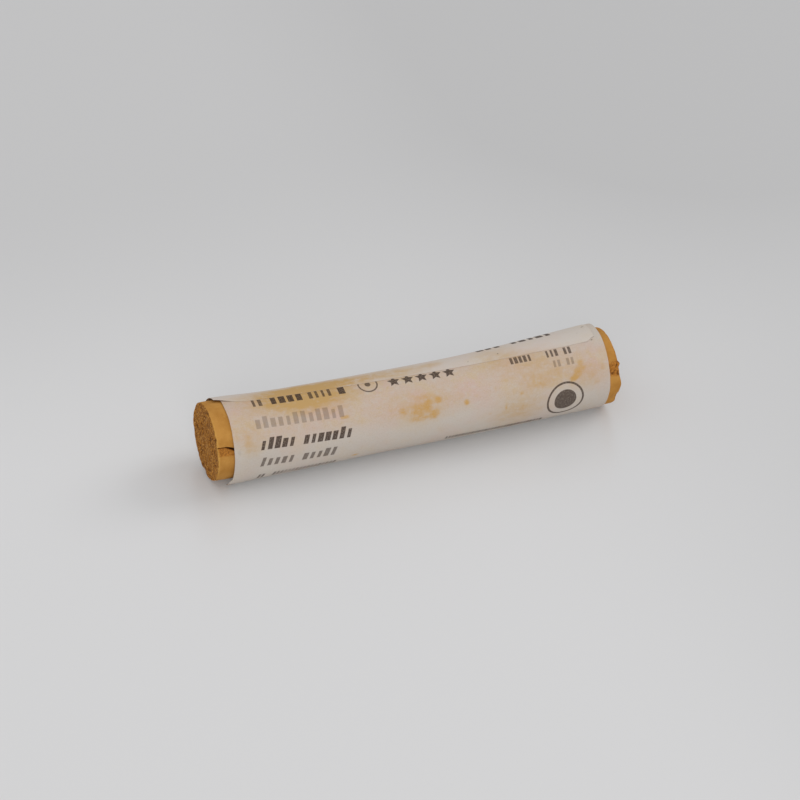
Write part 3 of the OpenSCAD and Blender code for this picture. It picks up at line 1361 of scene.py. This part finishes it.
@dataclass(frozen=True)
class PaleTabletop:
    """A pale, faintly glossy tabletop, painted darker towards the back and the right, with a
    faint painted glow that lifts its shadows.
    """

    close: Colour = paint(203, 203, 204)
    distant: Colour = paint(175, 175, 176)
    seeping_light: Colour = (1.0, 0.99, 0.96)
    dims_towards_back: float = 0.72
    dims_towards_right: float = 0.6

    def material(self) -> bpy.types.Material:
        """Build the material. Only the camera and reflections see the painted glow.

        Returns:
            The finished material.
        """
        graph = Graph("tabletop")
        sideways, depth, _ = graph.split(graph.place_mm())
        # Painted shade: the colour darkens towards the back and the right, where the lamps' light
        # falls off.
        back, right = depth.rise(0.0, 78.0), sideways.rise(0.0, 80.0)
        painted_falloff = (self.dims_towards_back * back + self.dims_towards_right * right).least(1.0)
        rays = ("Is Camera Ray", "Is Glossy Ray")
        camera, glossy = (graph.add("ShaderNodeLightPath", out=ray) for ray in rays)
        return graph.finish(
            Base_Color=graph.mix(painted_falloff, self.close, self.distant),
            Roughness=0.3,
            Specular_IOR_Level=0.6,
            # Painted glow: a faint emission for camera and glossy rays only, which lifts the
            # floor's shadows.
            Emission_Color=graph.mix(camera.most(glossy), (0.0, 0.0, 0.0), self.seeping_light),
            Emission_Strength=0.08,
        )


@dataclass(frozen=True)
class SoftLamp:
    """A square soft lamp, with lengths in millimetres."""

    name: str
    place: Place
    size: float
    watts: float

    def hang(self) -> None:
        """Hang the lamp so that it points at the stick."""
        data = bpy.data.lights.new(self.name, "AREA")
        data.shape = "SQUARE"
        data.size = self.size * MM
        data.energy = self.watts
        lamp = bpy.data.objects.new(self.name, data)
        lamp.location = Vector(self.place) * MM
        lamp.rotation_euler = (-lamp.location).to_track_quat("-Z", "Y").to_euler()
        bpy.context.scene.collection.objects.link(lamp)


@dataclass
class Studio:
    """The tabletop, the soft light and the camera, in millimetres and degrees."""

    azimuth: float = -23.06
    elevation: float = 35.99
    tip: float = 3.14
    distance: float = 481.0
    field_of_view: float = 13.23
    aim: Place = (-1.54, 0.0, 6.77)
    table_size: float = 4000.0
    lamps: tuple[SoftLamp, ...] = (
        SoftLamp("window", (1640, 230, 1150), 1000, 10.2),
        SoftLamp("front_light", (-380, -820, 250), 620, 3.1),
    )
    room: Colour = (0.985, 0.985, 0.99)
    room_strength: float = 0.72

    def camera(self) -> None:
        """Set up the camera on the stick's broken end and front."""
        turn, climb, tip = (radians(a) for a in (self.azimuth, self.elevation, self.tip))
        right = Vector((cos(turn), sin(turn), 0))
        back = Vector((sin(turn) * cos(climb), -cos(turn) * cos(climb), sin(climb)))
        up = back.cross(right)
        data = bpy.data.cameras.new("camera")
        data.sensor_fit = "HORIZONTAL"
        data.angle = radians(self.field_of_view)
        data.clip_start = 0.01
        data.clip_end = 20.0
        camera = bpy.data.objects.new("camera", data)
        sideways = right * cos(tip) + up * sin(tip)
        upwards = up * cos(tip) - right * sin(tip)
        place = (Vector(self.aim) + back * self.distance) * MM
        columns = (sideways, upwards, back, place)
        camera.matrix_world = Matrix([[c[k] for c in columns] for k in range(3)] + [[0, 0, 0, 1]])
        bpy.context.scene.collection.objects.link(camera)
        bpy.context.scene.camera = camera

    def tabletop(self) -> None:
        """Lay the tabletop."""
        half = self.table_size / 2 * MM
        mesh = bpy.data.meshes.new("tabletop")
        corners = [(-half, -half, 0), (half, -half, 0), (half, half, 0), (-half, half, 0)]
        mesh.from_pydata(corners, [], [(0, 1, 2, 3)])
        table = bpy.data.objects.new("tabletop", mesh)
        bpy.context.scene.collection.objects.link(table)
        table.data.materials.append(PaleTabletop().material())

    def light(self) -> None:
        """Light the stick softly from above and the right, with a pale room all round."""
        for lamp in self.lamps:
            lamp.hang()
        world = bpy.data.worlds.new("room")
        world.use_nodes = True
        shade = world.node_tree.nodes["Background"]
        shade.inputs["Color"].default_value = (*self.room, 1.0)
        shade.inputs["Strength"].default_value = self.room_strength
        bpy.context.scene.world = world
        bpy.context.scene.view_settings.view_transform = "Standard"


# ---- all together


def hand_over(piece: bpy.types.Object, node: str) -> None:
    """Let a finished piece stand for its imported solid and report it.

    Args:
        piece: The finished piece.
        node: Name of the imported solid.
    """
    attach(piece, BODY)
    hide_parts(node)
    LOG.info("%s: %d faces, for %s", piece.name, len(piece.data.polygons), node)


def main() -> None:
    """Build the camera, the surroundings and the two pieces."""
    logging.basicConfig(level=logging.INFO, format="%(name)s: %(message)s")
    studio = Studio()
    studio.camera()
    studio.tabletop()
    studio.light()
    stick = PastelStick(*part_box("pastel_stick"))
    hand_over(stick.build(), "pastel_stick")
    hand_over(RolledLabel(stick).build(), "paper_wrapper")


if __name__ == "__main__":
    main()
